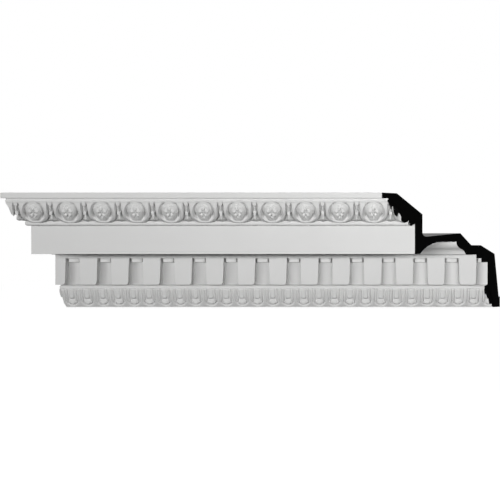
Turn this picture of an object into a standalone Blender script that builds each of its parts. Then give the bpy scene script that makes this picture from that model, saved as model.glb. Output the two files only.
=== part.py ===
"""Cornice moulding length, cast in one piece in rigid polyurethane and primed white.

From the top down it has a plain fillet, an egg-and-dart crown, a small bead, a plain corona,
a hollow soffit behind the corona's lip, a fascia with a row of dentils, and a band of tongues
over a foot. The right end is mitred for an inside corner and the left end is sawn.

Metres, +Z up. The length runs along X, the front faces -Y and the wall is the plane y = 0.
The origin is the middle of the foot's flat back, where the moulding is fixed to the wall.
A projection is a distance forward from the wall, and a level is a height above the foot's base.
"""

import math

import bmesh
import bpy
from mathutils import Matrix, Vector

MM = 0.001

# Length, measured along the front of the top fillet, and the pattern that repeats along it
FILLET_LENGTH = 1127.0 * MM
REPEAT = 101.3 * MM
TONGUE_PITCH = 50.0 * MM
FIRST_EGG = 89.5 * MM
FIRST_RECESS = 138.0 * MM
FIRST_TONGUE = 126.8 * MM
RUN_OUT = 120.0 * MM

# Top fillet
FILLET_HEIGHT = 16.5 * MM
FILLET_LIP = 18.5 * MM
TOP_FACE_DEPTH = 45.0 * MM

# Crown: a roll under the fillet, and the quarter-round ground that the eggs stand on
CROWN_OVERHANG = 101.0 * MM
CROWN_HEIGHT = 73.0 * MM
CROWN_NOTCH = 3.5 * MM
ROLL_HEIGHT = 15.0 * MM
ROLL_BULGE = 5.0 * MM
ROLL_BACKSET = 2.0 * MM
HEEL_GAP = 18.5 * MM
HEEL_RISE = 8.0 * MM
GROUND_BULGE = 5.0 * MM

# Small bead under the crown, which hangs a little below the corona's top
BEAD_BULGE = 7.5 * MM
BEAD_GAP = 10.0 * MM
BEAD_DROP = 2.5 * MM

# Corona, with the lip that hides the hollow soffit
CORONA_PROJECTION = 289.0 * MM
CORONA_HEIGHT = 92.5 * MM
CORONA_WALL = 23.8 * MM
LIP_WIDTH = 15.5 * MM
LIP_DROP = 2.0 * MM

# Hollow soffit and the ogee behind it
COVE_RUN = 79.0 * MM
COVE_RISE = 38.5 * MM
COVE_BULGE = 11.0 * MM
SOFFIT_FLAT = 41.5 * MM
SOFFIT_WALL = 15.0 * MM
SOFFIT_SLOPE = 12.0 * MM
SOFFIT_CORNER = 11.0 * MM
OGEE_RUN = 32.0 * MM
OGEE_STEP = 5.0 * MM
OGEE_WAVE = 2.7 * MM
PEAK_BACKSET = 13.0 * MM
SHOULDER_BACKSET = 18.5 * MM
SHOULDER_WALL = 30.0 * MM
CROWN_BACK_RISE = 29.0 * MM

# Fascia and dentils
DENTIL_PROJECTION = 84.0 * MM
FASCIA_HEIGHT = 12.0 * MM
RECESS_HEIGHT = 79.0 * MM
RECESS_WIDTH = 44.0 * MM
RECESS_FLARE = 2.4 * MM
RECESS_DEPTH = 35.0 * MM
RECESS_BATTER = 1.5 * MM
RECESS_BACK = 3.0 * MM
RECESS_KNEE = 8.0 * MM
RECESS_SPREAD = 5.0 * MM
RECESS_UNDERCUT = 0.3 * MM
CAP_WIDTH = 34.0 * MM
CAP_RELIEF = 3.0 * MM
DENTIL_DROP = 6.0 * MM
FLUTE_DEPTH = 8.0 * MM
FLUTE_MARGIN = 1.0 * MM
FLUTE_CAP = 13.0 * MM

# Band of tongues over the foot
BAND_HEIGHT = 80.5 * MM
BAND_NOSE_LEVEL = 58.0 * MM
BAND_NOSE_PROJECTION = 57.5 * MM
BAND_BULGE = 3.0 * MM
TOE_PROJECTION = 27.0 * MM
TOE_HEIGHT = 6.0 * MM
FLANGE_HEIGHT = 34.0 * MM
FLANGE_STEP = 4.5 * MM
BACK_LEAN = 15.0 * MM

# Eggs, husks and darts of the crown: widths run along the moulding, and heights up a face this
# tall, which is then stretched to the ground that it lies on
CROWN_FACE = 78.4 * MM
EGG_WIDTH = 49.0 * MM
EGG_HEIGHT = 63.0 * MM
EGG_RAISE = 3.0 * MM
EGG_RELIEF = 10.0 * MM
HUSK_SPREAD = 72.0 * MM
HUSK_GAP = 1.3 * MM
HUSK_OVERRUN = 6.0 * MM
HUSK_THICKNESS = 8.0 * MM
HUSK_RELIEF = 6.0 * MM
HUSK_HEAD = CROWN_FACE / 2 + HUSK_OVERRUN
HUSK_FOOT = EGG_RAISE - EGG_HEIGHT / 2 - HUSK_GAP - HUSK_THICKNESS / 2
STEM_WIDTH = 6.5 * MM
STEM_LENGTH = 32.0 * MM
STEM_DROP = 1.0 * MM
STEM_RELIEF = 4.0 * MM
KNOT_WIDTH = 9.0 * MM
KNOT_HEIGHT = 9.0 * MM
KNOT_RELIEF = 6.0 * MM
LEAF_TOP = 9.0 * MM
LEAF_FOOT = 36.0 * MM
LEAF_LENGTH = 29.0 * MM
LEAF_RELIEF = 4.5 * MM

# Tongues of the lower band, drawn on a face this tall in the same way
BAND_FACE = 60.7 * MM
TONGUE_OVERRUN = 4.0 * MM
TONGUE_WIDTH = 13.0 * MM
TONGUE_HEIGHT = 31.0 * MM
TONGUE_RELIEF = 3.5 * MM
BUD_WIDTH = 17.0 * MM
BUD_HEIGHT = 16.0 * MM
BUD_RELIEF = 4.5 * MM
RIM_SPREAD = 28.0 * MM
RIM_LENGTH = 58.0 * MM
RIM_THICKNESS = 5.0 * MM
RIM_RELIEF = 3.0 * MM
BAR_WIDTH = 8.7 * MM
BAR_LENGTH = 30.0 * MM
BAR_RELIEF = 3.5 * MM

# Sawn left end: how far each stretch is set back from the fillet's end
CROWN_SETBACK = 72.5 * MM
CROWN_SETBACK_DEPTH = 115.0 * MM
SOFFIT_SETBACK = 84.0 * MM
FOOT_SETBACK = 118.0 * MM

# How far a piece of ornament is sunk into its ground, and how finely round stretches are cut
EMBED = 3.0 * MM
ORNAMENT_GAP = 1.2 * MM
GROUND_STEPS = 4
COVE_STEPS = 7
SMALL_ARC_STEPS = 3
EGG_SIDES = 12
EGG_RINGS = 6
TONGUE_SIDES = 6
TONGUE_RINGS = 3
BUD_SIDES = 8
BUD_RINGS = 4
HUSK_STEPS = 8
HUSK_BEVEL_STEPS = 1
RIM_STEPS = 4
RIM_BEVEL_STEPS = 0
FLUTE_SIDES = 12

PAINT_COLOUR = (0.77, 0.77, 0.76, 1.0)
PAINT_ROUGHNESS = 0.6

# Levels above the foot's base, and how far the crown brings the fillet forward
RECESS_TOP = BAND_HEIGHT + RECESS_HEIGHT
SOFFIT_LEVEL = RECESS_TOP + FASCIA_HEIGHT
LIP_LEVEL = SOFFIT_LEVEL + LIP_DROP
CORONA_TOP = LIP_LEVEL + CORONA_HEIGHT
CROWN_TOP = CORONA_TOP + CROWN_HEIGHT
TOP_LEVEL = CROWN_TOP + FILLET_HEIGHT
BASE_LEVEL = -FLANGE_HEIGHT / 2
FILLET_PROJECTION = CORONA_PROJECTION + CROWN_OVERHANG

# Places along X: the left end of the fillet, and its right end, where the mitre starts
LEFT_END = -(FOOT_SETBACK + FILLET_LENGTH + FILLET_PROJECTION) / 2
RIGHT_END = LEFT_END + FILLET_LENGTH


def at(projection, level):
    """The point of the section that stands this far from the wall and above the foot's base."""
    return Vector((-projection, BASE_LEVEL + level))


class Arc:
    """A round stretch of the section from start to end, bulging to the left of that way."""

    def __init__(self, start, end, bulge):
        chord = end - start
        left = Vector((-chord.y, chord.x)).normalized()
        self.radius = (chord.length ** 2 / 4 + bulge ** 2) / (2 * abs(bulge))
        self.side = math.copysign(1.0, bulge)
        self.centre = (start + end) / 2 + left * (bulge - self.side * self.radius)
        self.middle = left * self.side
        self.half_angle = math.asin(min(1.0, chord.length / 2 / self.radius))
        if abs(bulge) > chord.length / 2:
            self.half_angle = math.pi - self.half_angle
        self.length = 2 * self.half_angle * self.radius

    def point(self, along, out=0.0):
        """The point this far along from the middle towards the end, raised by out."""
        angle = -self.side * along / self.radius
        outward = self.middle.copy()
        outward.rotate(Matrix.Rotation(angle, 2))
        return self.centre + outward * (self.radius + out)

    def points(self, steps):
        return [self.point(self.length * (i / steps - 0.5)) for i in range(steps + 1)]


ROLL_HEAD = at(FILLET_PROJECTION - FILLET_LIP, CROWN_TOP - CROWN_NOTCH)
CROWN_HEAD = ROLL_HEAD - Vector((-ROLL_BACKSET, ROLL_HEIGHT))
CROWN_HEEL = at(CORONA_PROJECTION + HEEL_GAP, CORONA_TOP + HEEL_RISE)
CROWN_GROUND = Arc(CROWN_HEEL, CROWN_HEAD, GROUND_BULGE)
BAND_NOSE = at(BAND_NOSE_PROJECTION, BAND_NOSE_LEVEL)
BAND_TOE = at(TOE_PROJECTION, TOE_HEIGHT)
BAND_GROUND = Arc(BAND_TOE, BAND_NOSE, BAND_BULGE)


def front_outline():
    """The section's front, from the back of the top face down to the foot's front edge."""
    bead_foot = at(CORONA_PROJECTION + BEAD_GAP, CORONA_TOP - BEAD_DROP)
    cove_foot = at(CORONA_PROJECTION - LIP_WIDTH, LIP_LEVEL)
    cove_head = cove_foot + Vector((COVE_RUN, COVE_RISE))
    ogee_head = cove_head + Vector((SOFFIT_FLAT, 0.0))
    ogee_start = ogee_head - Vector((0.0, OGEE_STEP))
    ogee_foot = ogee_head + Vector((OGEE_RUN, -LIP_DROP - COVE_RISE))
    ogee_middle = (ogee_start + ogee_foot) / 2
    recess_foot = at(DENTIL_PROJECTION - RECESS_DEPTH - RECESS_BACK, BAND_HEIGHT - DENTIL_DROP)
    points = [at(FILLET_PROJECTION - TOP_FACE_DEPTH, TOP_LEVEL)]
    points.append(at(FILLET_PROJECTION, TOP_LEVEL))
    points.append(at(FILLET_PROJECTION, CROWN_TOP))
    points.append(at(FILLET_PROJECTION - FILLET_LIP, CROWN_TOP))
    points += reversed(Arc(CROWN_HEAD, ROLL_HEAD, ROLL_BULGE).points(SMALL_ARC_STEPS))
    points += reversed(CROWN_GROUND.points(GROUND_STEPS)[:-1])
    points += reversed(Arc(bead_foot, CROWN_HEEL, BEAD_BULGE).points(SMALL_ARC_STEPS)[:-1])
    points.append(at(CORONA_PROJECTION, CORONA_TOP))
    points.append(at(CORONA_PROJECTION, LIP_LEVEL))
    points += Arc(cove_foot, cove_head, COVE_BULGE).points(COVE_STEPS)
    points.append(ogee_head)
    points += Arc(ogee_start, ogee_middle, -OGEE_WAVE).points(SMALL_ARC_STEPS)
    points += Arc(ogee_middle, ogee_foot, OGEE_WAVE).points(SMALL_ARC_STEPS)[1:]
    points.append(at(DENTIL_PROJECTION, SOFFIT_LEVEL))
    points.append(at(DENTIL_PROJECTION, BAND_HEIGHT - DENTIL_DROP))
    points += reversed(Arc(BAND_NOSE, recess_foot, BAND_BULGE).points(SMALL_ARC_STEPS)[1:])
    points += reversed(BAND_GROUND.points(GROUND_STEPS))
    points.append(at(TOE_PROJECTION, 0.0))
    return points


def back_outline():
    """The section's back, from the foot's back edge up to the back of the top face."""
    web_front = CORONA_PROJECTION - CORONA_WALL
    web_back = CORONA_PROJECTION - LIP_WIDTH - COVE_RUN - SOFFIT_FLAT
    web_top = LIP_LEVEL + COVE_RISE + SOFFIT_WALL
    corner_foot = at(web_front - SOFFIT_CORNER, web_top)
    corner_head = at(web_front, web_top + SOFFIT_CORNER)
    points = [at(0.0, 0.0), at(0.0, FLANGE_HEIGHT), at(FLANGE_STEP, FLANGE_HEIGHT)]
    points.append(at(FLANGE_STEP + BACK_LEAN, LIP_LEVEL))
    points.append(at(DENTIL_PROJECTION - BACK_LEAN, SOFFIT_LEVEL + SHOULDER_WALL))
    points.append(at(web_back - OGEE_RUN - SHOULDER_BACKSET, SOFFIT_LEVEL + SHOULDER_WALL))
    points.append(at(web_back - PEAK_BACKSET, web_top + SOFFIT_SLOPE))
    points += Arc(corner_foot, corner_head, SOFFIT_CORNER / 4).points(SMALL_ARC_STEPS)
    points.append(at(web_front, CORONA_TOP + CROWN_BACK_RISE))
    return points


def collection(name):
    made = bpy.data.collections.new(name)
    bpy.context.scene.collection.children.link(made)
    return made


def mesh_object(name, bm, home):
    """A mesh object from bm, with its doubles merged and its faces pointing out."""
    bmesh.ops.remove_doubles(bm, verts=bm.verts, dist=0.00001)
    bmesh.ops.recalc_face_normals(bm, faces=bm.faces)
    mesh = bpy.data.meshes.new(name)
    bm.to_mesh(mesh)
    bm.free()
    made = bpy.data.objects.new(name, mesh)
    home.objects.link(made)
    return made


def curve_mesh(splines, extrude=0.0, bevel=0.0, bevel_steps=1):
    """A bmesh from flat outlines that are extruded, or from open lines that get a round bevel."""
    curve = bpy.data.curves.new("outline", "CURVE")
    curve.dimensions = "3D" if bevel else "2D"
    curve.fill_mode = "FULL" if bevel else "BOTH"
    curve.extrude = extrude
    curve.bevel_depth = bevel
    curve.bevel_resolution = bevel_steps
    curve.use_fill_caps = bool(bevel)
    for points in splines:
        spline = curve.splines.new("POLY")
        spline.points.add(len(points) - 1)
        spline.use_cyclic_u = not bevel
        for knot, point in zip(spline.points, points):
            knot.co = (point[0], point[1], 0.0, 1.0)
    helper = bpy.data.objects.new("outline", curve)
    bpy.context.scene.collection.objects.link(helper)
    evaluated = helper.evaluated_get(bpy.context.evaluated_depsgraph_get())
    mesh = bpy.data.meshes.new_from_object(evaluated)
    bpy.data.objects.remove(helper)
    bpy.data.curves.remove(curve)
    bm = bmesh.new()
    bm.from_mesh(mesh)
    bpy.data.meshes.remove(mesh)
    return bm


def stock(home):
    """The plain moulding, longer than the finished length at both ends."""
    first = LEFT_END - RUN_OUT
    last = RIGHT_END + FILLET_PROJECTION + RUN_OUT
    bm = curve_mesh([front_outline() + back_outline()], extrude=(last - first) / 2)
    along_x = Matrix(((0, 0, 1, (first + last) / 2), (1, 0, 0, 0), (0, 1, 0, 0), (0, 0, 0, 1)))
    bmesh.ops.transform(bm, matrix=along_x, verts=bm.verts)
    return mesh_object("cornice_moulding", bm, home)


def boss(bm, centre, size, sides, rings):
    """A rounded boss, as wide and tall as size says, standing size.z above the ground."""
    shape = Matrix.Diagonal((size.x / 2, size.y / 2, size.z + EMBED, 1.0))
    place = Matrix.Translation((centre.x, centre.y, -EMBED))
    bmesh.ops.create_uvsphere(bm, u_segments=sides, v_segments=rings, radius=1.0, matrix=place @ shape)


def block(bm, centre, size, foot_width=None):
    """A flat block on the ground, which may be wider at its foot than at its head."""
    place = Matrix.Translation((centre.x, centre.y, (size.z - EMBED) / 2))
    shape = Matrix.Diagonal((size.x, size.y, size.z + EMBED, 1.0))
    made = bmesh.ops.create_cube(bm, size=1.0, matrix=place @ shape)
    if foot_width is None:
        return
    for vertex in made["verts"]:
        if vertex.co.y < centre.y:
            vertex.co.x = centre.x + (vertex.co.x - centre.x) * foot_width / size.x


def loop(bm, centre, size, thickness, steps, bevel_steps):
    """A U-shaped band, open at the top, whose middle line is as wide and long as size says."""
    radius = size.x / 2
    top = size.y / 2
    round_middle = max(radius, top) - top
    line = [Vector((-radius, top))]
    for i in range(steps + 1):
        angle = math.pi * (1 + i / steps)
        down = (top + round_middle) * math.sin(angle)
        line.append(Vector((radius * math.cos(angle), round_middle + down)))
    line.append(Vector((radius, top)))
    tube = curve_mesh([line], bevel=thickness / 2, bevel_steps=bevel_steps)
    bmesh.ops.remove_doubles(tube, verts=tube.verts, dist=0.00001)
    flat = Matrix.Diagonal((1.0, 1.0, (size.z + EMBED) / thickness * 2, 1.0))
    place = Matrix.Translation((centre.x, centre.y, -EMBED))
    bmesh.ops.transform(tube, matrix=place @ flat, verts=tube.verts)
    mesh = bpy.data.meshes.new("loop")
    tube.to_mesh(mesh)
    tube.free()
    bm.from_mesh(mesh)
    bpy.data.meshes.remove(mesh)


def wrap(bm, ground, face):
    """Bends ornament drawn on a flat face (along, up, out) onto a round stretch of the section."""
    stretch = ground.length / face
    for vertex in bm.verts:
        place = ground.point(vertex.co.y * stretch, vertex.co.z)
        vertex.co = (vertex.co.x, place.x, place.y)


def places(first, pitch, last):
    """Where a pattern falls along X, from one pitch before its first unit to past the last."""
    count = math.ceil((last - first) / pitch)
    return [first + pitch * i for i in range(-1, count + 1)]


def crown_ornament(home):
    """The row of eggs in their husks, with a dart and a spreading leaf between each two."""
    bm = bmesh.new()
    last = RIGHT_END + CORONA_PROJECTION / 2
    for x in places(LEFT_END + FIRST_EGG, REPEAT, last):
        egg = Vector((x, EGG_RAISE))
        husk = Vector((x, (HUSK_HEAD + HUSK_FOOT) / 2))
        dart = x + REPEAT / 2
        stem = Vector((dart, (CROWN_FACE - STEM_LENGTH) / 2 - STEM_DROP))
        knot = Vector((dart, stem.y - (STEM_LENGTH + KNOT_HEIGHT) / 2 - ORNAMENT_GAP))
        leaf = Vector((dart, knot.y - (KNOT_HEIGHT + LEAF_LENGTH) / 2 - ORNAMENT_GAP))
        boss(bm, egg, Vector((EGG_WIDTH, EGG_HEIGHT, EGG_RELIEF)), EGG_SIDES, EGG_RINGS)
        size = Vector((HUSK_SPREAD, HUSK_HEAD - HUSK_FOOT, HUSK_RELIEF))
        loop(bm, husk, size, HUSK_THICKNESS, HUSK_STEPS, HUSK_BEVEL_STEPS)
        block(bm, stem, Vector((STEM_WIDTH, STEM_LENGTH, STEM_RELIEF)))
        block(bm, knot, Vector((KNOT_WIDTH, KNOT_HEIGHT, KNOT_RELIEF)))
        block(bm, leaf, Vector((LEAF_TOP, LEAF_LENGTH, LEAF_RELIEF)), LEAF_FOOT)
    wrap(bm, CROWN_GROUND, CROWN_FACE)
    return mesh_object("crown_ornament", bm, home)


def band_ornament(home):
    """The row of tongues, each over a bud inside a U-shaped rim, with a bar between each two."""
    bm = bmesh.new()
    last = RIGHT_END + FILLET_PROJECTION
    head = BAND_FACE / 2 + TONGUE_OVERRUN
    for x in places(LEFT_END + FIRST_TONGUE, TONGUE_PITCH, last):
        rim = Vector((x, head - RIM_LENGTH / 2))
        tongue = Vector((x, head - TONGUE_HEIGHT / 2))
        bud = Vector((x, tongue.y - (TONGUE_HEIGHT + BUD_HEIGHT) / 2 - ORNAMENT_GAP))
        bar = Vector((x + TONGUE_PITCH / 2, head - BAR_LENGTH / 2))
        boss(bm, tongue, Vector((TONGUE_WIDTH, TONGUE_HEIGHT, TONGUE_RELIEF)), TONGUE_SIDES, TONGUE_RINGS)
        boss(bm, bud, Vector((BUD_WIDTH, BUD_HEIGHT, BUD_RELIEF)), BUD_SIDES, BUD_RINGS)
        size = Vector((RIM_SPREAD, RIM_LENGTH, RIM_RELIEF))
        loop(bm, rim, size, RIM_THICKNESS, RIM_STEPS, RIM_BEVEL_STEPS)
        block(bm, bar, Vector((BAR_WIDTH, BAR_LENGTH, BAR_RELIEF)))
    wrap(bm, BAND_GROUND, BAND_FACE)
    return mesh_object("band_ornament", bm, home)


def recess_places():
    """Where the gaps between the dentils fall along X."""
    last = RIGHT_END + FILLET_PROJECTION - DENTIL_PROJECTION + RECESS_DEPTH
    return places(LEFT_END + FIRST_RECESS, REPEAT, last)


def recess_cutters(home):
    """The gaps between the dentils, which widen slowly and then fast towards their open foot."""
    head = BASE_LEVEL + RECESS_TOP
    foot = BASE_LEVEL + BAND_HEIGHT - DENTIL_DROP - RECESS_UNDERCUT
    half = RECESS_WIDTH / 2
    right = [Vector((half, head)), Vector((half + RECESS_FLARE, foot + RECESS_KNEE))]
    right.append(Vector((half + RECESS_FLARE + RECESS_SPREAD, foot)))
    left = [Vector((-point.x, point.y)) for point in reversed(right)]
    outlines = [[point + Vector((x, 0.0)) for point in right + left] for x in recess_places()]
    bm = curve_mesh(outlines, extrude=RECESS_DEPTH)
    upright = Matrix(((1, 0, 0, 0), (0, 0, 1, -DENTIL_PROJECTION), (0, 1, 0, 0), (0, 0, 0, 1)))
    bmesh.ops.transform(bm, matrix=upright, verts=bm.verts)
    for vertex in bm.verts:
        if vertex.co.y > -DENTIL_PROJECTION:
            vertex.co.y += RECESS_BATTER * (head - vertex.co.z) / (head - foot)
    return mesh_object("recess_cutters", bm, home)


def flute_cutters(home):
    """The shallow upright flutes in the back of the recesses, stopped below a square cap."""
    bm = bmesh.new()
    wall = -(DENTIL_PROJECTION - RECESS_DEPTH)
    head = BASE_LEVEL + RECESS_TOP - FLUTE_CAP
    foot = BASE_LEVEL + BAND_HEIGHT - DENTIL_DROP + FLUTE_MARGIN
    for x in recess_places():
        place = Matrix.Translation((x, wall - FLUTE_MARGIN, (head + foot) / 2))
        half_width = RECESS_WIDTH / 2 - FLUTE_MARGIN
        shape = Matrix.Diagonal((half_width, FLUTE_DEPTH + FLUTE_MARGIN, head - foot, 1.0))
        bmesh.ops.create_cone(
            bm, cap_ends=True, segments=FLUTE_SIDES, radius1=1.0, radius2=1.0, depth=1.0,
            matrix=place @ shape,
        )
    return mesh_object("flute_cutters", bm, home)


def caps(home):
    """The square cap at the head of each recess, standing a little in front of its back."""
    bm = bmesh.new()
    wall = -(DENTIL_PROJECTION - RECESS_DEPTH)
    size = Vector((CAP_WIDTH, CAP_RELIEF + EMBED, FLUTE_CAP + EMBED))
    centre_z = BASE_LEVEL + RECESS_TOP + EMBED - size.z / 2
    for x in recess_places():
        place = Matrix.Translation((x, wall + EMBED - size.y / 2, centre_z))
        shape = Matrix.Diagonal((size.x, size.y, size.z, 1.0))
        bmesh.ops.create_cube(bm, size=1.0, matrix=place @ shape)
    return mesh_object("caps", bm, home)


def end_cutter(name, edge, outside, home):
    """A block that takes off all that lies beyond an upright cut, drawn in plan from the front."""
    reach = FILLET_PROJECTION * 2
    corners = [Vector((outside, edge[0].y)), *edge, Vector((outside, edge[-1].y))]
    bm = curve_mesh([corners], extrude=reach)
    return mesh_object(name, bm, home)


def right_cutter(home):
    """The 45 degree mitre of the right end, longest at the wall."""
    over = RUN_OUT / 2
    front = Vector((RIGHT_END - over, -FILLET_PROJECTION - over))
    back = Vector((RIGHT_END + FILLET_PROJECTION + over, over))
    return end_cutter("right_cutter", [front, back], back.x + RUN_OUT * 2, home)


def left_cutter(home):
    """The sawn left end: slanting through the crown, nearly square behind it."""
    over = RUN_OUT / 2
    crown = Vector((CROWN_SETBACK, CROWN_SETBACK_DEPTH))
    start = crown * (-over / CROWN_SETBACK_DEPTH)
    soffit = Vector((SOFFIT_SETBACK, FILLET_PROJECTION - DENTIL_PROJECTION + RECESS_DEPTH / 2))
    foot = Vector((FOOT_SETBACK, FILLET_PROJECTION))
    end = foot + (foot - soffit)
    edge = [start, crown, soffit, foot, end]
    shifted = [point + Vector((LEFT_END, -FILLET_PROJECTION)) for point in edge]
    return end_cutter("left_cutter", shifted, LEFT_END - RUN_OUT * 2, home)


def carve(target, tool, operation):
    step = target.modifiers.new(tool.name, "BOOLEAN")
    step.operation = operation
    step.solver = "EXACT"
    step.object = tool
    tool.hide_render = True
    tool.display_type = "WIRE"


def paint(target):
    """Matt white primer."""
    material = bpy.data.materials.new("primer_white")
    material.use_nodes = True
    shader = material.node_tree.nodes["Principled BSDF"]
    shader.inputs["Base Color"].default_value = PAINT_COLOUR
    shader.inputs["Roughness"].default_value = PAINT_ROUGHNESS
    shader.inputs["Metallic"].default_value = 0.0
    target.data.materials.append(material)


def main():
    for old in list(bpy.data.objects):
        bpy.data.objects.remove(old, do_unlink=True)
    part = collection("cornice_moulding")
    tools = collection("cutters")
    moulding = stock(part)
    carve(moulding, crown_ornament(tools), "UNION")
    carve(moulding, band_ornament(tools), "UNION")
    carve(moulding, recess_cutters(tools), "DIFFERENCE")
    carve(moulding, flute_cutters(tools), "DIFFERENCE")
    carve(moulding, caps(tools), "UNION")
    carve(moulding, right_cutter(tools), "DIFFERENCE")
    carve(moulding, left_cutter(tools), "DIFFERENCE")
    paint(moulding)


main()
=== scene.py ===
"""Looks of the cornice moulding length: a primed polyurethane casting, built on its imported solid.

The body carries the plain members and the dentils. The egg-and-dart crown and the band of tongues
are carved once each, repeated along the length and bent onto their place in the section. Metres,
+X along the length, +Y into the wall, +Z up. A projection is a distance forward from the wall, and
a level is a height above the foot's base.
"""

import math

import bpy
from mathutils import Matrix, Vector


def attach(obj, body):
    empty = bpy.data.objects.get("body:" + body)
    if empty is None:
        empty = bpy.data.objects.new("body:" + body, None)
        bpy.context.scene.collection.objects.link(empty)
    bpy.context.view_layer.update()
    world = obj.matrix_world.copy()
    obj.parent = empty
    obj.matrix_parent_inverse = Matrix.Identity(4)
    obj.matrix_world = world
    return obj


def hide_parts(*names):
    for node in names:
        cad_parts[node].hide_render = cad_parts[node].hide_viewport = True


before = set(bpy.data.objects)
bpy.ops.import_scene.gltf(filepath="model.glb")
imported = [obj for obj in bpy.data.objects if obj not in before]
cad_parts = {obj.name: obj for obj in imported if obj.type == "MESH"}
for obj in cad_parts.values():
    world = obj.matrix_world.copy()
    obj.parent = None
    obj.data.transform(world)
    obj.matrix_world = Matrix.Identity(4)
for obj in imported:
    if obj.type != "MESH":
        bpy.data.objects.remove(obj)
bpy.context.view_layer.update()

MM = 0.001

# Length and repeats
FILLET_LENGTH = 1127.0 * MM
REPEAT = 101.3 * MM
TONGUE_PITCH = 50.0 * MM
FIRST_EGG = 89.5 * MM
FIRST_RECESS = 138.0 * MM
FIRST_TONGUE = 126.8 * MM
RUN_OUT = 120.0 * MM

# Section
FILLET_PROJECTION = 390.0 * MM
TOP_LEVEL = 355.5 * MM
CROWN_TOP = 339.0 * MM
FILLET_LIP = 18.5 * MM
TOP_FACE_DEPTH = 45.0 * MM
ROLL_TOP = 335.5 * MM
ROLL_HEIGHT = 8.0 * MM
ROLL_BULGE = 3.0 * MM
ROLL_BACKSET = 1.0 * MM
HEEL_GAP = 18.5 * MM
HEEL_RISE = 8.0 * MM
CROWN_BULGE = 6.0 * MM
BEAD_GAP = 10.0 * MM
BEAD_DROP = 6.5 * MM
BEAD_BULGE = 6.5 * MM
MARK_WIDTH = 2.6 * MM
MARK_HEIGHT = 5.0 * MM
MARK_DEPTH = 2.6 * MM
MARK_SPACING = 7.0 * MM
MARK_LEAN = 20.0
CORONA_PROJECTION = 289.0 * MM
CORONA_TOP = 266.0 * MM
CORONA_WALL = 23.8 * MM
LIP_LEVEL = 173.5 * MM
LIP_WIDTH = 15.5 * MM
COVE_RUN = 79.0 * MM
COVE_RISE = 38.5 * MM
COVE_BULGE = 11.0 * MM
SOFFIT_FLAT = 41.5 * MM
SOFFIT_LEVEL = 171.5 * MM
SOFFIT_WALL = 15.0 * MM
SOFFIT_SLOPE = 12.0 * MM
SOFFIT_CORNER = 11.0 * MM
OGEE_RUN = 32.0 * MM
OGEE_STEP = 5.0 * MM
OGEE_WAVE = 2.7 * MM
PEAK_BACKSET = 13.0 * MM
SHOULDER_BACKSET = 18.5 * MM
SHOULDER_WALL = 30.0 * MM
CROWN_BACK_RISE = 29.0 * MM
DENTIL_PROJECTION = 84.0 * MM
DENTIL_FOOT = 74.5 * MM
RECESS_TOP = 159.5 * MM
RECESS_WIDTH = 44.0 * MM
RECESS_FLARE = 2.4 * MM
RECESS_DEPTH = 35.0 * MM
RECESS_BATTER = 1.5 * MM
RECESS_BACK = 3.0 * MM
RECESS_KNEE = 8.0 * MM
RECESS_SPREAD = 5.0 * MM
RECESS_UNDERCUT = 0.3 * MM
CAP_WIDTH = 34.0 * MM
CAP_RELIEF = 18.0 * MM
FLUTE_DEPTH = 8.0 * MM
FLUTE_MARGIN = 1.0 * MM
FLUTE_CAP = 13.0 * MM
BAND_NOSE_LEVEL = 58.0 * MM
BAND_NOSE_PROJECTION = 57.5 * MM
BAND_BULGE = 3.0 * MM
TOE_PROJECTION = 27.0 * MM
TOE_HEIGHT = 6.0 * MM
FLANGE_HEIGHT = 34.0 * MM
FLANGE_STEP = 4.5 * MM
BACK_LEAN = 15.0 * MM

# Sawn left end: how far each stretch is set back from the fillet's end
CROWN_SETBACK = 72.5 * MM
CROWN_SETBACK_DEPTH = 115.0 * MM
SOFFIT_SETBACK = 84.0 * MM
SOFFIT_SETBACK_DEPTH = 323.5 * MM
FOOT_SETBACK = 118.0 * MM

BASE_LEVEL = -FLANGE_HEIGHT / 2
LEFT_END = -(FOOT_SETBACK + FILLET_LENGTH + FILLET_PROJECTION) / 2
RIGHT_END = LEFT_END + FILLET_LENGTH
MITRE_NORMAL = Vector((1.0, -1.0, 0.0)).normalized()
MITRE_POINT = Vector((RIGHT_END, -FILLET_PROJECTION, 0.0))

# How deep the carved strips are let into the body, and the casting's small edge radius
STRIP_DEPTH = 7.0 * MM
STRIP_OVERLAP = 2.0 * MM
CHANNEL_DEPTH = 6.0 * MM
EDGE_RADIUS = 0.9 * MM

# Cells of one unit of carving, along and up, and how far each strip's ground is softened
CROWN_CELLS = (78, 70)
CROWN_SOFTENING = 0.5 * MM
BAND_CELLS = (40, 66)
BAND_SOFTENING = 4.0 * MM

# Points closer than this are one, and a strip's sides are drawn down this far before they are levelled
NARROW = 0.01 * MM
SIDE_DROP = 1.0

# How many straight steps stand for each round stretch, and sides for each round tool
CROWN_STEPS = 24
BAND_STEPS = 20
COVE_STEPS = 16
BEAD_STEPS = 8
SMALL_STEPS = 6
CORNER_STEPS = 5
FLUTE_SIDES = 48
MARK_SIDES = 12
MARK_COUNT = 3

# The least turn that makes a corner of the outline, and of the mesh
CORNER_ANGLE = math.radians(28.0)
SMOOTH_ANGLE = math.radians(34.0)


def at(projection, level):
    """The point (y, z) that stands this far from the wall and above the foot's base."""
    return Vector((-projection, BASE_LEVEL + level))


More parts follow.
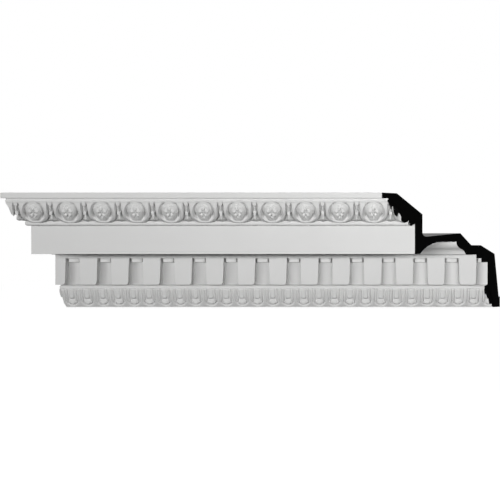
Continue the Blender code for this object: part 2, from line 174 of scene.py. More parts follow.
def arc(start, end, bulge, steps):
    """Points of a round stretch of the section, bulging to the left of the way it runs."""
    chord = end - start
    left = Vector((-chord.y, chord.x)).normalized()
    radius = (chord.length ** 2 / 4 + bulge ** 2) / (2 * bulge)
    centre = (start + end) / 2 + left * (bulge - radius)
    half_angle = math.asin(min(1.0, chord.length / 2 / abs(radius)))
    if abs(bulge) > chord.length / 2:
        half_angle = math.pi - half_angle
    points = []
    for i in range(steps + 1):
        angle = math.copysign(half_angle, bulge) * (1 - 2 * i / steps)
        spoke = left.copy()
        spoke.rotate(Matrix.Rotation(angle, 2))
        points.append(centre + spoke * radius)
    return points


class Ground:
    """A stretch of the section that a carved strip lies on, measured from its start."""

    def __init__(self, points):
        self.points = points
        self.marks = [0.0]
        for one, other in zip(points, points[1:]):
            self.marks.append(self.marks[-1] + (other - one).length)
        self.length = self.marks[-1]

    def on(self, along):
        """The point on the ground this far along, run on straight past both ends."""
        i = 1
        while i < len(self.marks) - 1 and self.marks[i] < along:
            i += 1
        share = (along - self.marks[i - 1]) / (self.marks[i] - self.marks[i - 1])
        return self.points[i - 1].lerp(self.points[i], share)

    def point(self, along, out, soften):
        """The point this far along and raised by out, with corners of the ground softened."""
        before = self.on(along - soften)
        after = self.on(along + soften)
        way = (after - before).normalized()
        middle = (before + after + self.on(along) * 2) / 4
        return middle + Vector((-way.y, way.x)) * out


CROWN_HEEL = at(CORONA_PROJECTION + HEEL_GAP, CORONA_TOP + HEEL_RISE)
CROWN_HEAD = at(FILLET_PROJECTION - FILLET_LIP - ROLL_BACKSET, ROLL_TOP - ROLL_HEIGHT)
BAND_TOE = at(TOE_PROJECTION, TOE_HEIGHT)
BAND_NOSE = at(BAND_NOSE_PROJECTION, BAND_NOSE_LEVEL)
BAND_BACK = at(DENTIL_PROJECTION - RECESS_DEPTH - RECESS_BACK, DENTIL_FOOT)
CROWN_LINE = arc(CROWN_HEEL, CROWN_HEAD, CROWN_BULGE, CROWN_STEPS)
BAND_FRONT = arc(BAND_TOE, BAND_NOSE, BAND_BULGE, BAND_STEPS)
BAND_LINE = BAND_FRONT + arc(BAND_NOSE, BAND_BACK, BAND_BULGE, BEAD_STEPS)[1:]
BAND_SHIFT = (Ground(BAND_LINE).length - Ground(BAND_FRONT).length) / 2 / MM


def channel(line):
    """The channel that a carved strip is let into: its mouth's edges and its floor's corners."""
    ways = [(other - one).normalized() for one, other in zip(line, line[1:])]
    inwards = [Vector((-way.y, way.x)) for way in ways]
    floor = [line[0] + inwards[0] * CHANNEL_DEPTH]
    for corner, one, other in zip(line[1:], inwards, inwards[1:]):
        floor.append(corner + (one + other) * CHANNEL_DEPTH / (1.0 + one.dot(other)))
    floor.append(line[-1] + inwards[-1] * CHANNEL_DEPTH)
    return [line[0], *floor, line[-1]]


def section():
    """The body's outline, from the back of the top face down the front and up the back."""
    bead_foot = at(CORONA_PROJECTION + BEAD_GAP, CORONA_TOP - BEAD_DROP)
    roll_head = at(FILLET_PROJECTION - FILLET_LIP, ROLL_TOP)
    cove_foot = at(CORONA_PROJECTION - LIP_WIDTH, LIP_LEVEL)
    cove_head = cove_foot + Vector((COVE_RUN, COVE_RISE))
    ogee_head = cove_head + Vector((SOFFIT_FLAT, 0.0))
    ogee_start = ogee_head - Vector((0.0, OGEE_STEP))
    ogee_foot = ogee_head + Vector((OGEE_RUN, SOFFIT_LEVEL - LIP_LEVEL - COVE_RISE))
    ogee_middle = (ogee_start + ogee_foot) / 2
    points = [at(FILLET_PROJECTION - TOP_FACE_DEPTH, TOP_LEVEL)]
    points.append(at(FILLET_PROJECTION, TOP_LEVEL))
    points.append(at(FILLET_PROJECTION, CROWN_TOP))
    points.append(at(FILLET_PROJECTION - FILLET_LIP, CROWN_TOP))
    points += reversed(arc(CROWN_HEAD, roll_head, ROLL_BULGE, SMALL_STEPS)[1:])
    points += channel([CROWN_HEAD, CROWN_HEEL])[:-1]
    points += reversed(arc(bead_foot, CROWN_HEEL, BEAD_BULGE, BEAD_STEPS))
    points.append(at(CORONA_PROJECTION, CORONA_TOP))
    points.append(at(CORONA_PROJECTION, LIP_LEVEL))
    points += arc(cove_foot, cove_head, COVE_BULGE, COVE_STEPS)
    points.append(ogee_head)
    points += arc(ogee_start, ogee_middle, -OGEE_WAVE, SMALL_STEPS)
    points += arc(ogee_middle, ogee_foot, OGEE_WAVE, SMALL_STEPS)[1:]
    points.append(at(DENTIL_PROJECTION, SOFFIT_LEVEL))
    points.append(at(DENTIL_PROJECTION, DENTIL_FOOT))
    points += channel([BAND_BACK, BAND_NOSE, BAND_TOE])
    points.append(at(TOE_PROJECTION, 0.0))
    points += back()
    return points


def back():
    """The plain back, from the foot's back edge up to the back of the top face."""
    web_front = CORONA_PROJECTION - CORONA_WALL
    web_back = CORONA_PROJECTION - LIP_WIDTH - COVE_RUN - SOFFIT_FLAT
    web_top = LIP_LEVEL + COVE_RISE + SOFFIT_WALL
    corner_foot = at(web_front - SOFFIT_CORNER, web_top)
    corner_head = at(web_front, web_top + SOFFIT_CORNER)
    shoulder = SOFFIT_LEVEL + SHOULDER_WALL
    points = [at(0.0, 0.0), at(0.0, FLANGE_HEIGHT), at(FLANGE_STEP, FLANGE_HEIGHT)]
    points.append(at(FLANGE_STEP + BACK_LEAN, LIP_LEVEL))
    points.append(at(DENTIL_PROJECTION - BACK_LEAN, shoulder))
    points.append(at(web_back - OGEE_RUN - SHOULDER_BACKSET, shoulder))
    points.append(at(web_back - PEAK_BACKSET, web_top + SOFFIT_SLOPE))
    points += arc(corner_foot, corner_head, SOFFIT_CORNER / 4, CORNER_STEPS)
    points.append(at(web_front, CORONA_TOP + CROWN_BACK_RISE))
    return points


def edit(piece):
    """Makes this the only selected object and opens it in edit mode with nothing selected."""
    bpy.ops.object.select_all(action="DESELECT")
    piece.select_set(True)
    bpy.context.view_layer.objects.active = piece
    bpy.ops.object.mode_set(mode="EDIT")
    bpy.ops.mesh.select_all(action="DESELECT")
    bpy.ops.object.mode_set(mode="OBJECT")


def select(piece, kind, wanted):
    """Selects the piece's vertices, edges or faces that wanted() accepts, and opens edit mode."""
    edit(piece)
    bpy.context.tool_settings.mesh_select_mode = [kind == "VERT", kind == "EDGE", kind == "FACE"]
    mesh = piece.data
    parts = {"VERT": mesh.vertices, "EDGE": mesh.edges, "FACE": mesh.polygons}[kind]
    for part in parts:
        part.select = wanted(part)
    bpy.ops.object.mode_set(mode="EDIT")


def done():
    bpy.ops.object.mode_set(mode="OBJECT")


def apply(piece, kind, **settings):
    """Adds a modifier, sets it and applies it."""
    bpy.ops.object.select_all(action="DESELECT")
    piece.select_set(True)
    bpy.context.view_layer.objects.active = piece
    step = piece.modifiers.new(kind.lower(), kind)
    for name, value in settings.items():
        setattr(step, name, value)
    bpy.ops.object.modifier_apply(modifier=step.name)


def settle(piece):
    """Puts the piece's place, turn and size into its mesh."""
    bpy.ops.object.select_all(action="DESELECT")
    piece.select_set(True)
    bpy.context.view_layer.objects.active = piece
    bpy.ops.object.transform_apply(location=True, rotation=True, scale=True)


def outward(piece):
    select(piece, "FACE", lambda face: True)
    bpy.ops.mesh.normals_make_consistent(inside=False)
    done()


def outline_face(name, points):
    """A flat face in the YZ plane, laid out from a ring with one vertex for each point."""
    bpy.ops.object.select_all(action="DESELECT")
    bpy.ops.mesh.primitive_circle_add(vertices=len(points), radius=1.0, fill_type="NGON")
    piece = bpy.context.object
    piece.name = name
    for vertex, point in zip(piece.data.vertices, points):
        vertex.co = (0.0, point.x, point.y)
    return piece


def sharp_corners(points, least):
    """The numbers of the points where the outline turns by more than this angle."""
    found = set()
    for i, point in enumerate(points):
        before = point - points[i - 1]
        after = points[(i + 1) % len(points)] - point
        if before.length and after.length and before.angle(after) > least:
            found.add(i)
    return found


def cut(piece, tool, operation="DIFFERENCE"):
    """Takes the tool's shape out of the piece, or joins it on."""
    apply(piece, "BOOLEAN", operation=operation, solver="EXACT", object=tool)
    bpy.data.objects.remove(tool, do_unlink=True)


def mitre(piece):
    select(piece, "FACE", lambda face: True)
    bpy.ops.mesh.bisect(
        plane_co=MITRE_POINT, plane_no=MITRE_NORMAL, use_fill=True, clear_outer=True,
    )
    done()


def places(first, pitch, last):
    """Where a pattern falls along X, from one pitch before its first unit to past the last."""
    count = math.ceil((last - first) / pitch)
    return [first + pitch * i for i in range(-1, count + 1)]


def repeated(piece, first, pitch, last):
    """The piece at every place of its pattern, joined to one object."""
    spots = places(first, pitch, last)
    made = []
    for x in spots:
        again = piece.copy()
        again.data = piece.data.copy()
        again.data.transform(Matrix.Translation((x, 0.0, 0.0)))
        bpy.context.collection.objects.link(again)
        made.append(again)
    bpy.data.objects.remove(piece, do_unlink=True)
    bpy.ops.object.select_all(action="DESELECT")
    for again in made:
        again.select_set(True)
    bpy.context.view_layer.objects.active = made[0]
    bpy.ops.object.join()
    return made[0]


def recess_tool():
    """One gap between two dentils: it widens slowly, and then fast at its open foot."""
    front = -(DENTIL_PROJECTION + RECESS_DEPTH)
    head = BASE_LEVEL + RECESS_TOP
    foot = BASE_LEVEL + DENTIL_FOOT - RECESS_UNDERCUT
    knee = foot + RECESS_KNEE
    half = RECESS_WIDTH / 2
    outline = [(half, head), (half + RECESS_FLARE, knee), (half + RECESS_FLARE + RECESS_SPREAD, foot)]
    outline += [(-x, z) for x, z in reversed(outline)]
    bpy.ops.object.select_all(action="DESELECT")
    bpy.ops.mesh.primitive_circle_add(vertices=len(outline), radius=1.0, fill_type="NGON")
    tool = bpy.context.object
    for vertex, place in zip(tool.data.vertices, outline):
        vertex.co = (place[0], front, place[1])
    select(tool, "FACE", lambda face: True)
    bpy.ops.mesh.extrude_region_move(TRANSFORM_OT_translate={"value": (0.0, 2 * RECESS_DEPTH, 0.0)})
    done()
    for level in (knee, foot):
        select(tool, "VERT", lambda corner: corner.co.y > front and abs(corner.co.z - level) < MM)
        batter = RECESS_BATTER * (head - level) / (head - foot)
        bpy.ops.transform.translate(value=(0.0, batter, 0.0))
        done()
    outward(tool)
    return tool


def flute_tool():
    """The upright hollow in the back of a recess, stopped below a square cap."""
    wall = -(DENTIL_PROJECTION - RECESS_DEPTH)
    head = BASE_LEVEL + RECESS_TOP - FLUTE_CAP
    foot = BASE_LEVEL + DENTIL_FOOT + FLUTE_MARGIN
    bpy.ops.object.select_all(action="DESELECT")
    bpy.ops.mesh.primitive_cylinder_add(
        vertices=FLUTE_SIDES, radius=1.0, depth=1.0,
        location=(0.0, wall - FLUTE_MARGIN, (head + foot) / 2),
        scale=(RECESS_WIDTH / 2 - FLUTE_MARGIN, FLUTE_DEPTH + FLUTE_MARGIN, head - foot),
    )
    tool = bpy.context.object
    settle(tool)
    return tool


def cap():
    """The square cap at the head of a recess, with softened edges."""
    wall = -(DENTIL_PROJECTION - RECESS_DEPTH)
    front = wall - CAP_RELIEF
    back = wall + FLUTE_DEPTH
    foot = BASE_LEVEL + RECESS_TOP - FLUTE_CAP
    head = BASE_LEVEL + RECESS_TOP + FLUTE_MARGIN
    bpy.ops.object.select_all(action="DESELECT")
    bpy.ops.mesh.primitive_cube_add(
        size=1.0, location=(0.0, (front + back) / 2, (head + foot) / 2),
        scale=(CAP_WIDTH, back - front, head - foot),
    )
    block = bpy.context.object
    settle(block)
    select(block, "EDGE", lambda edge: all(block.data.vertices[i].co.y < wall for i in edge.vertices))
    bpy.ops.mesh.bevel(offset=EDGE_RADIUS, segments=2)
    done()
    return block


def bead_marks():
    """The three small nicks in the bead's lower edge, below an egg or a dart."""
    front = -(CORONA_PROJECTION + BEAD_GAP + BEAD_BULGE)
    foot = BASE_LEVEL + CORONA_TOP - BEAD_DROP
    bpy.ops.object.select_all(action="DESELECT")
    bpy.ops.mesh.primitive_cylinder_add(
        vertices=MARK_SIDES, radius=1.0, depth=1.0,
        location=(-MARK_SPACING, front, foot + MARK_HEIGHT / 2),
        rotation=(math.radians(-MARK_LEAN), 0.0, 0.0), scale=(MARK_WIDTH / 2, MARK_DEPTH, MARK_HEIGHT * 2),
    )
    tool = bpy.context.object
    settle(tool)
    apply(
        tool, "ARRAY", count=MARK_COUNT, use_relative_offset=False, use_constant_offset=True,
        constant_offset_displace=(MARK_SPACING, 0.0, 0.0),
    )
    return tool


def left_tool():
    """A block over all that lies beyond the sawn left end, drawn in plan."""
    over = RUN_OUT / 2
    crown = Vector((CROWN_SETBACK, CROWN_SETBACK_DEPTH))
    soffit = Vector((SOFFIT_SETBACK, SOFFIT_SETBACK_DEPTH))
    foot = Vector((FOOT_SETBACK, FILLET_PROJECTION))
    start = crown * (-over / CROWN_SETBACK_DEPTH)
    end = foot + (foot - soffit)
    plan = [Vector((-RUN_OUT * 2, start.y)), start, crown, soffit, foot, end, Vector((-RUN_OUT * 2, end.y))]
    bpy.ops.object.select_all(action="DESELECT")
    bpy.ops.mesh.primitive_circle_add(vertices=len(plan), radius=1.0, fill_type="NGON")
    tool = bpy.context.object
    for vertex, point in zip(tool.data.vertices, plan):
        vertex.co = (LEFT_END + point.x, point.y - FILLET_PROJECTION, -FILLET_PROJECTION)
    select(tool, "FACE", lambda face: True)
    bpy.ops.mesh.extrude_region_move(
        TRANSFORM_OT_translate={"value": (0.0, 0.0, FILLET_PROJECTION * 2)},
    )
    done()
    outward(tool)
    return tool


def body():
    """The plain members, with the dentils cut, both ends finished and small rounded edges."""
    points = section()
    piece = outline_face("moulding_body", points)
    corners = sharp_corners(points, CORNER_ANGLE)
    select(piece, "VERT", lambda vertex: vertex.index in corners)
    bpy.ops.mesh.bevel(offset=EDGE_RADIUS, segments=3, affect="VERTICES", clamp_overlap=True)
    done()
    first = LEFT_END - RUN_OUT
    last = RIGHT_END + FILLET_PROJECTION + RUN_OUT
    piece.data.transform(Matrix.Translation((first, 0.0, 0.0)))
    select(piece, "FACE", lambda face: True)
    bpy.ops.mesh.extrude_region_move(TRANSFORM_OT_translate={"value": (last - first, 0.0, 0.0)})
    done()
    outward(piece)
    reach = RIGHT_END + FILLET_PROJECTION - DENTIL_PROJECTION + RECESS_DEPTH
    cut(piece, repeated(recess_tool(), LEFT_END + FIRST_RECESS, REPEAT, reach))
    cut(piece, repeated(flute_tool(), LEFT_END + FIRST_RECESS, REPEAT, reach))
    cut(piece, repeated(cap(), LEFT_END + FIRST_RECESS, REPEAT, reach), "UNION")
    cut(piece, repeated(bead_marks(), LEFT_END + FIRST_EGG, REPEAT / 2, reach))
    cut(piece, left_tool())
    mitre(piece)
    return piece


def rise(distance, width):
    """0 up to the edge, rising smoothly to 1 at this width past it."""
    share = min(1.0, max(0.0, distance / width))
    return share * share * (3.0 - 2.0 * share)


def ridge(distance, half_width):
    """A soft ridge, 1 at its middle line and 0 from half_width on."""
    return max(0.0, 1.0 - (distance / half_width) ** 2) ** 1.5


def petal(u, v, u0, v0, length, width, turn):
    """A leaf-shaped swelling, 1 at its middle, with its length turned from the v axis."""
    du, dv = u - u0, v - v0
    along = du * math.sin(turn) + dv * math.cos(turn)
    across = du * math.cos(turn) - dv * math.sin(turn)
    narrowing = 1.0 - PETAL_NARROWING * (2.0 * along / length)
    return max(0.0, 1.0 - (2.0 * along / length) ** 2 - (2.0 * across / width / narrowing) ** 2)


# Egg and dart, in millimetres: u along the moulding from the egg's middle, v up the crown's face.
# A run is the width over which a form rises from one of its edges
CROWN_HALF = 41.3
SWELL = 6.0
FOOT_SWELL = 5.5
FOOT_SWELL_HEAD = -2.0
FOOT_SWELL_HEAD_RUN = 22.0
FOOT_SWELL_BASE = -39.0
FOOT_SWELL_BASE_RUN = 7.0
FOOT_SWELL_SIDE = 34.0
FOOT_SWELL_SIDE_RUN = 22.0
DART = REPEAT / MM / 2

# The grooves around egg and husk, which end near the roll and grow shallow towards the foot
GROOVE = 9.0
GROOVE_HEAD = 30.0
GROOVE_HEAD_RUN = 12.0
FOOT_HEAD = -6.0
FOOT_RUN = 18.0
FOOT_SHALLOWING = 0.65
MIDDLE_SHALLOWING = 0.25
MIDDLE_SIDE = 27.0
MIDDLE_RUN = 14.0

# Egg and husk: the ring and the bud's edge are shares of the way from the egg's middle to its rim
EGG_HALF_WIDTH = 26.5
EGG_HALF_HEIGHT = 33.0
EGG_MIDDLE = 9.0
EGG_RELIEF = 4.5
EGG_FULLNESS = 5
RING_DEPTH = 1.6
RING_PLACE = 0.82
RING_HALF_WIDTH = 0.07
ROSETTE_EDGE = 0.84
ROSETTE_RUN = 0.1
HUSK_INNER = (27.5, 35.0)
HUSK_OUTER = (45.0, 47.5)
HUSK_MIDDLE = 6.0
HUSK_RELIEF = 3.6
HUSK_RUN = 6.5
HUSK_FOOT_SHARPENING = 3.0
HUSK_OUTER_SHARPENING = 1.0
HUSK_HEAD = 24.0
HUSK_HEAD_RUN = 16.0
HUSK_HEAD_DROP = 1.5

# The bud's leaves lie one in another, each edge a pointed oval. A petal holds its middle's u and v,
# its length, width, turn and height, and so does a gap between petals, with its depth
LEAF_HALF_WIDTH = 23.0
LEAF_HALF_HEIGHT = 31.0
LEAF_MIDDLE = 11.0
LEAF_POINT = 1.5
LEAF_EDGES = (0.95, 0.68, 0.42)
LEAF_RELIEF = 1.7
LEAF_EDGE_RUN = 0.15
LEAF_HOLLOW = 0.8
LEAF_HOLLOW_START = 0.1
LEAF_HOLLOW_RUN = 0.2
PETAL_NARROWING = 0.35
PETALS = (
    (0.0, 23.5, 12.0, 10.0, 0.0, 4.5),
    (10.5, 15.5, 13.0, 9.0, 1.35, 2.6),
    (5.5, 1.5, 15.0, 8.0, 2.7, 3.4),
    (0.0, -8.0, 9.0, 8.0, 0.0, 2.4),
)
GAPS = (
    (5.8, 9.5, 10.0, 6.5, 2.3, 5.0),
    (6.5, 24.0, 10.0, 5.0, 0.8, 2.2),
    (0.0, 2.0, 10.0, 4.5, 0.0, 3.0),
    (0.0, 32.5, 7.0, 6.0, 0.0, 2.4),
)

# The dart's stem, its knot and the veined fan of a leaf below it
STEM_HALF_WIDTH = 5.6
STEM_RUN = 4.6
STEM_FOOT = 10.0
STEM_FOOT_RUN = 4.0
STEM_HEAD = 20.0
STEM_HEAD_RUN = 16.0
STEM_RELIEF = 2.4
KNOT_HALF_WIDTH = 6.4
KNOT_HALF_HEIGHT = 5.4
KNOT_RUN = 2.6
KNOT_MIDDLE = 8.0
KNOT_RELIEF = 4.0
KNOT_LEAN = 3.0
KNOT_LEAN_HEAD = 11.0
KNOT_LEAN_RUN = 8.0
FAN_ROOT = 10.0
FAN_VEINS = 12.0
FAN_VEIN_RELIEF = 1.3
FAN_HEAD = 1.5
FAN_HEAD_RUN = 2.6
FAN_GAP = 1.4
FAN_GAP_RUN = 3.0
FAN_FLARE = 8.0
FAN_FLARE_HEAD = 3.0
FAN_FLARE_RUN = 14.0
FAN_FALL = 6.0
FAN_FALL_HEAD = -12.0
FAN_FALL_RUN = 20.0


def rosette(side, v):
    """The bud carved on the egg: leaves nested in leaves around a small flower."""
    almond = (side / LEAF_HALF_WIDTH) ** LEAF_POINT + ((v - LEAF_MIDDLE) / LEAF_HALF_HEIGHT) ** 2
    h = 0.0
    for edge in LEAF_EDGES:
        inside = edge - almond
        hollow = LEAF_HOLLOW * rise(inside - LEAF_HOLLOW_START, LEAF_HOLLOW_RUN)
        h += LEAF_RELIEF * (rise(inside, LEAF_EDGE_RUN) - hollow)
    flower = 0.0
    for u0, v0, length, width, turn, height in PETALS:
        flower = max(flower, height * petal(side, v, u0, v0, length, width, turn))
    h += flower
    for u0, v0, length, width, turn, height in GAPS:
        h -= height * petal(side, v, u0, v0, length, width, turn)
    return h


def swelling(side, v):
    """How far the crown's face swells, most of all at the foot of egg and husk."""
    foot = rise(FOOT_SWELL_HEAD - v, FOOT_SWELL_HEAD_RUN) * rise(v - FOOT_SWELL_BASE, FOOT_SWELL_BASE_RUN)
    foot *= rise(FOOT_SWELL_SIDE - side, FOOT_SWELL_SIDE_RUN)
    return SWELL * max(0.0, 1.0 - (v / CROWN_HALF) ** 2) + FOOT_SWELL * foot


def egg_and_dart(u, v):
    """Height of the crown's carving over its ground."""
    side = abs(u)
    swell = swelling(side, v)
    foot = rise(FOOT_HEAD - v, FOOT_RUN)
    shallow = foot * (FOOT_SHALLOWING + MIDDLE_SHALLOWING * rise(MIDDLE_SIDE - side, MIDDLE_RUN))
    floor = -GROOVE * (1.0 - rise(v - GROOVE_HEAD, GROOVE_HEAD_RUN)) * (1.0 - shallow)
    egg = math.hypot(side / EGG_HALF_WIDTH, (v - EGG_MIDDLE) / EGG_HALF_HEIGHT)
    if egg < 1.0:
        h = floor + (EGG_RELIEF - floor) * (1.0 - egg ** EGG_FULLNESS)
        h -= RING_DEPTH * ridge(egg - RING_PLACE, RING_HALF_WIDTH)
        return swell + h + rosette(side, v) * rise(ROSETTE_EDGE - egg, ROSETTE_RUN)
    inner = math.hypot(side / HUSK_INNER[0], (v - EGG_MIDDLE) / HUSK_INNER[1]) - 1.0
    below = min(0.0, v - HUSK_MIDDLE)
    outer = 1.0 - math.hypot(side / HUSK_OUTER[0], below / HUSK_OUTER[1])
    inner *= HUSK_INNER[0]
    outer *= HUSK_OUTER[0]
    if outer > 0.0:
        run = HUSK_RUN - HUSK_FOOT_SHARPENING * foot
        height = HUSK_RELIEF - HUSK_HEAD_DROP * rise(v - HUSK_HEAD, HUSK_HEAD_RUN)
        h = floor + (height - floor) * rise(inner, run) * rise(outer, run - HUSK_OUTER_SHARPENING)
        return swell + h
    return swell + dart(side - DART, v, -outer, floor)


def dart(u, v, gap, floor):
    """The dart's stem, knot and spreading leaf, this far from the nearest husk."""
    stem = rise(STEM_HALF_WIDTH - abs(u), STEM_RUN) * rise(v - STEM_FOOT, STEM_FOOT_RUN)
    h = floor + (STEM_RELIEF - floor) * max(stem, rise(v - STEM_HEAD, STEM_HEAD_RUN))
    knot = rise(KNOT_HALF_WIDTH - abs(u), KNOT_RUN)
    knot *= rise(KNOT_HALF_HEIGHT - abs(v - KNOT_MIDDLE), KNOT_RUN)
    lean = KNOT_LEAN * rise(KNOT_LEAN_HEAD - v, KNOT_LEAN_RUN)
    h = max(h, floor + (KNOT_RELIEF - floor + lean) * knot)
    angle = math.atan2(u, FAN_ROOT - v)
    veins = FAN_VEIN_RELIEF * math.cos(angle * FAN_VEINS)
    fan = rise(FAN_HEAD - v, FAN_HEAD_RUN) * rise(gap - FAN_GAP, FAN_GAP_RUN)
    flare = FAN_FLARE * rise(FAN_FLARE_HEAD - v, FAN_FLARE_RUN)
    flare -= FAN_FALL * rise(FAN_FALL_HEAD - v, FAN_FALL_RUN)
    return max(h, floor + (flare + veins - floor) * fan)


# Tongues, in millimetres: u along from the tongue's middle, v up the band from half-way up it
BAND_FLOOR = -1.5
BAR_RELIEF = 4.5
BAR_RUN = 5.5
RIM_MIDDLE = -8.0
RIM_LINE = 14.6
RIM_GROOVE = 18.2
RIM_RELIEF = 4.2
RIM_HALF_WIDTH = 3.8
TONGUE_HALF_WIDTH = 10.0
TONGUE_RUN = 5.0
TONGUE_RELIEF = 3.6
TONGUE_TIP = -4.5
TONGUE_TIP_RUN = 8.0
TONGUE_TIP_CURVE = 0.05
TONGUE_TIP_RELIEF = 2.2
TONGUE_RISE_HEAD = 16.0
TONGUE_RISE_RUN = 16.0
BUD_MIDDLE = -13.0
BUD_HALF_WIDTH = 10.4
BUD_HALF_HEIGHT = 10.5
BUD_RELIEF = 4.6
BUD_LEAN = 0.5
BAND_HEAD = 36.0
BAND_HEAD_RUN = 8.0
NOSE_LINE = 42.0
NOSE_HALF_WIDTH = 5.5
NOSE_RELIEF = 2.0
NOSE_GROOVE = 35.6
NOSE_GROOVE_HALF_WIDTH = 2.6
NOSE_GROOVE_DEPTH = 1.6


def tongue(u, v):
    """Height of the lower band's carving over its ground."""
    around = math.hypot(u, min(0.0, v - RIM_MIDDLE))
    h = BAR_RELIEF * rise(around - RIM_GROOVE, BAR_RUN)
    h = max(h, RIM_RELIEF * ridge(around - RIM_LINE, RIM_HALF_WIDTH))
    tip = rise(v - TONGUE_TIP_CURVE * u * u - TONGUE_TIP, TONGUE_TIP_RUN)
    height = TONGUE_RELIEF + TONGUE_TIP_RELIEF * rise(TONGUE_RISE_HEAD - v, TONGUE_RISE_RUN)
    h = max(h, height * rise(TONGUE_HALF_WIDTH - abs(u), TONGUE_RUN) * tip)
    bud = math.hypot(u / BUD_HALF_WIDTH, (v - BUD_MIDDLE) / BUD_HALF_HEIGHT)
    if bud < 1.0:
        h = max(h, (BUD_RELIEF - BUD_LEAN * (v - BUD_MIDDLE)) * (1.0 - bud ** 4) ** 0.5)
    h = (h + BAND_FLOOR) * rise(BAND_HEAD - v, BAND_HEAD_RUN)
    h += NOSE_RELIEF * ridge(v - NOSE_LINE, NOSE_HALF_WIDTH)
    return h - NOSE_GROOVE_DEPTH * ridge(v - NOSE_GROOVE, NOSE_GROOVE_HALF_WIDTH)


def carved_strip(name, ground, carving, pitch, cells, soften, first, last):
    """A strip of carving: one unit carved on a flat grid, repeated, and bent onto its ground."""
    columns, rows = cells
    face = ground.length + 2 * STRIP_OVERLAP
    bpy.ops.object.select_all(action="DESELECT")
    bpy.ops.mesh.primitive_grid_add(x_subdivisions=columns, y_subdivisions=rows, size=1.0)
    piece = bpy.context.object
    piece.name = name
    middle = ground.length / 2
    for vertex in piece.data.vertices:
        u, v = vertex.co.x * pitch, vertex.co.y * face
        vertex.co = (u, v, carving(u / MM, v / MM) * MM)
    edge = face / 2 - NARROW
    on_edge = {vertex.index for vertex in piece.data.vertices if abs(vertex.co.y) > edge}
    select(piece, "EDGE", lambda side: on_edge.issuperset(side.vertices))
    bpy.ops.mesh.extrude_region_move(TRANSFORM_OT_translate={"value": (0.0, 0.0, -SIDE_DROP)})
    bpy.ops.mesh.bridge_edge_loops()
    done()
    for vertex in piece.data.vertices:
        if vertex.co.z < -SIDE_DROP / 2:
            vertex.co.z = -STRIP_DEPTH
    spots = places(first, pitch, last)
    apply(
        piece, "ARRAY", count=len(spots), use_relative_offset=False, use_constant_offset=True,
        constant_offset_displace=(pitch, 0.0, 0.0), use_merge_vertices=True, merge_threshold=NARROW,
    )
    for vertex in piece.data.vertices:
        bent = ground.point(vertex.co.y + middle, vertex.co.z, soften)
        vertex.co = (vertex.co.x + spots[0], bent.x, bent.y)
    outward(piece)
    return piece


def saw(piece, near, far):
    """Cuts the piece's left end along the upright plane through two points of the plan."""
    way = (far - near).normalized()
    select(piece, "FACE", lambda face: True)
    bpy.ops.mesh.bisect(
        plane_co=(LEFT_END + near.x, near.y - FILLET_PROJECTION, 0.0),
        plane_no=(-way.y, way.x, 0.0), use_fill=True, clear_outer=True,
    )
    done()


def crown():
    last = RIGHT_END + CORONA_PROJECTION / 2
    piece = carved_strip(
        "egg_and_dart_crown", Ground(CROWN_LINE), egg_and_dart, REPEAT, CROWN_CELLS, CROWN_SOFTENING,
        LEFT_END + FIRST_EGG, last,
    )
    saw(piece, Vector((0.0, 0.0)), Vector((CROWN_SETBACK, CROWN_SETBACK_DEPTH)))
    mitre(piece)
    return piece


def band():
    last = RIGHT_END + FILLET_PROJECTION
    piece = carved_strip(
        "tongue_band", Ground(BAND_LINE), tongue_on_band, TONGUE_PITCH, BAND_CELLS, BAND_SOFTENING,
        LEFT_END + FIRST_TONGUE, last,
    )
    saw(piece, Vector((SOFFIT_SETBACK, SOFFIT_SETBACK_DEPTH)), Vector((FOOT_SETBACK, FILLET_PROJECTION)))
    mitre(piece)
    return piece


def tongue_on_band(u, v):
    """The carving measured from the middle of the band's front, below its nose."""
    return tongue(u, v + BAND_SHIFT)


class Socket:
    """A shader value that Python's operators work on, each adding its Math node."""

    def __init__(self, tree, link):
        self.tree = tree
        self.link = link

    def math(self, operation, one, other):
        values = {"Value": one, "Value_001": other}
        return make(self.tree, "ShaderNodeMath", {"operation": operation}, values, "Value")

    def __add__(self, other):
        return self.math("ADD", self, other)

    def __sub__(self, other):
        return self.math("SUBTRACT", self, other)

    def __mul__(self, other):
        return self.math("MULTIPLY", self, other)

    def __rsub__(self, other):
        return self.math("SUBTRACT", other, self)

    def __gt__(self, other):
        return self.math("GREATER_THAN", self, other)

    __radd__ = __add__
    __rmul__ = __mul__


def make(tree, kind, settings, values, output):
    """Adds a node, sets it, joins or fills its sockets by identifier, and returns one output."""
    node = tree.nodes.new(kind)
    for name, value in settings.items():
        setattr(node, name, value)
    sockets = {entry.identifier: entry for entry in node.inputs}
    for name, value in values.items():
        if isinstance(value, Socket):
            tree.links.new(value.link, sockets[name])
        else:
            sockets[name].default_value = value
    return Socket(tree, {entry.identifier: entry for entry in node.outputs}[output])


PRIMER = (0.66, 0.66, 0.655, 1.0)
PRIMER_SHADE = (0.63, 0.63, 0.625, 1.0)
END_BLACK = (0.001, 0.001, 0.001, 1.0)
END_PAINT_DEPTH = 0.4 * MM
CLOUD_SCALE = 9.0
GRAIN_SCALE = 900.0
GRAIN_STRENGTH = 0.15
GRAIN_HEIGHT = 0.2 * MM
ROUGHNESS = 0.5
ROUGHNESS_SPREAD = 0.12
SPECULAR = 0.02


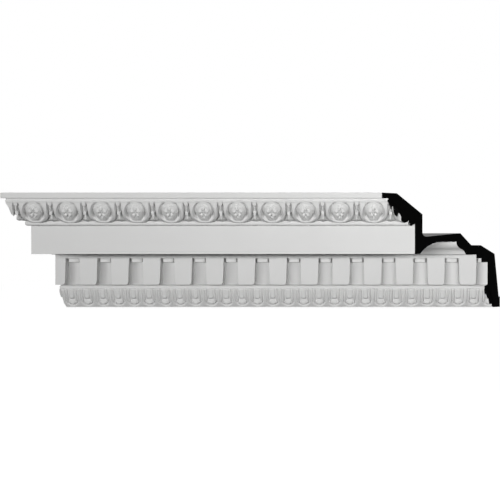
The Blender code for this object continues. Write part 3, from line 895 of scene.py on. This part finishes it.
def primer():
    """Matt white primer with faint unevenness, and black paint on the mitred end."""
    material = bpy.data.materials.new("primer_white")
    material.use_nodes = True
    tree = material.node_tree
    shader = tree.nodes["Principled BSDF"]
    place = make(tree, "ShaderNodeTexCoord", {}, {}, "Object")
    x = make(tree, "ShaderNodeSeparateXYZ", {}, {"Vector": place}, "X")
    y = make(tree, "ShaderNodeSeparateXYZ", {}, {"Vector": place}, "Y")
    cloud = noise(tree, place, CLOUD_SCALE)
    grain = noise(tree, place, GRAIN_SCALE)
    painted = (x - y) > (RIGHT_END + FILLET_PROJECTION - END_PAINT_DEPTH)
    coat = mix(tree, cloud, PRIMER, PRIMER_SHADE)
    colour = mix(tree, painted, coat, END_BLACK)
    rough = cloud * ROUGHNESS_SPREAD + ROUGHNESS
    relief = {"Strength": GRAIN_STRENGTH, "Distance": GRAIN_HEIGHT, "Height": grain}
    bump = make(tree, "ShaderNodeBump", {}, relief, "Normal")
    tree.links.new(colour.link, shader.inputs["Base Color"])
    tree.links.new(rough.link, shader.inputs["Roughness"])
    tree.links.new(bump.link, shader.inputs["Normal"])
    shader.inputs["Specular IOR Level"].default_value = SPECULAR
    return material


def noise(tree, place, scale):
    return make(tree, "ShaderNodeTexNoise", {}, {"Vector": place, "Scale": scale, "Detail": 3.0}, "Fac")


def mix(tree, factor, one, other):
    values = {"Factor_Float": factor, "A_Color": one, "B_Color": other}
    return make(tree, "ShaderNodeMix", {"data_type": "RGBA"}, values, "Result_Color")


def area_light(name, place, target, size, power):
    """A soft light, as wide and tall as size says, that faces its target."""
    bpy.ops.object.light_add(type="AREA", location=place)
    lamp = bpy.context.object
    lamp.name = name
    lamp.rotation_euler = (Vector(target) - Vector(place)).to_track_quat("-Z", "Y").to_euler()
    lamp.data.shape = "RECTANGLE"
    lamp.data.size, lamp.data.size_y = size
    lamp.data.energy = power
    lamp.visible_camera = False


FLOOR_LEVEL = -0.9
FLOOR_SIZE = 60.0


def studio():
    """A wide pale floor well below the moulding, a white surround and soft lights."""
    bpy.ops.object.select_all(action="DESELECT")
    bpy.ops.mesh.primitive_plane_add(size=FLOOR_SIZE, location=(0.0, 0.0, FLOOR_LEVEL))
    floor = bpy.context.object
    floor.name = "floor"
    pale = bpy.data.materials.new("floor_pale")
    pale.use_nodes = True
    shader = pale.node_tree.nodes["Principled BSDF"]
    shader.inputs["Base Color"].default_value = (0.9, 0.9, 0.9, 1.0)
    shader.inputs["Roughness"].default_value = 0.9
    shader.inputs["Emission Color"].default_value = (1.0, 1.0, 1.0, 1.0)
    shader.inputs["Emission Strength"].default_value = 1.0
    floor.data.materials.append(pale)
    floor.visible_diffuse = False
    world = bpy.data.worlds.new("surround")
    world.use_nodes = True
    world.node_tree.nodes["Background"].inputs["Color"].default_value = (1.0, 1.0, 1.0, 1.0)
    world.node_tree.nodes["Background"].inputs["Strength"].default_value = 1.0
    world.cycles_visibility.diffuse = False
    world.cycles_visibility.glossy = False
    bpy.context.scene.world = world
    middle = (-0.05, -0.2, 0.17)
    area_light("key", (-2.8, -8.0, 0.55), middle, (4.6, 0.55), 455.0)
    area_light("right_near", (0.9, -1.75, 0.23), (0.35, -0.2, 0.17), (0.8, 0.12), 13.0)
    area_light("top_fill", (0.0, -2.0, 3.4), middle, (3.0, 3.0), 8.0)
    area_light("low_fill", (0.0, -3.2, -0.8), middle, (2.0, 2.0), 4.0)
    area_light("back_fill", (-0.6, 3.5, 2.0), middle, (3.0, 3.0), 60.0)


CAMERA_PLACE = (0.274, -3.93, 0.169)
CAMERA_LENS = 86.4
CAMERA_SHIFT = -0.24
CAMERA_SENSOR = 36.0


def camera():
    bpy.ops.object.camera_add(location=CAMERA_PLACE, rotation=(math.radians(90.0), 0.0, 0.0))
    eye = bpy.context.object
    eye.data.lens = CAMERA_LENS
    eye.data.sensor_width = CAMERA_SENSOR
    eye.data.shift_x = CAMERA_SHIFT
    bpy.context.scene.camera = eye


camera()
white = primer()
for piece in (body(), crown(), band()):
    settle(piece)
    piece.data.materials.clear()
    piece.data.materials.append(white)
    bpy.ops.object.shade_smooth_by_angle(angle=SMOOTH_ANGLE)
    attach(piece, "root")
    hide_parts("cornice_moulding")
studio()
bpy.context.scene.view_settings.view_transform = "Standard"
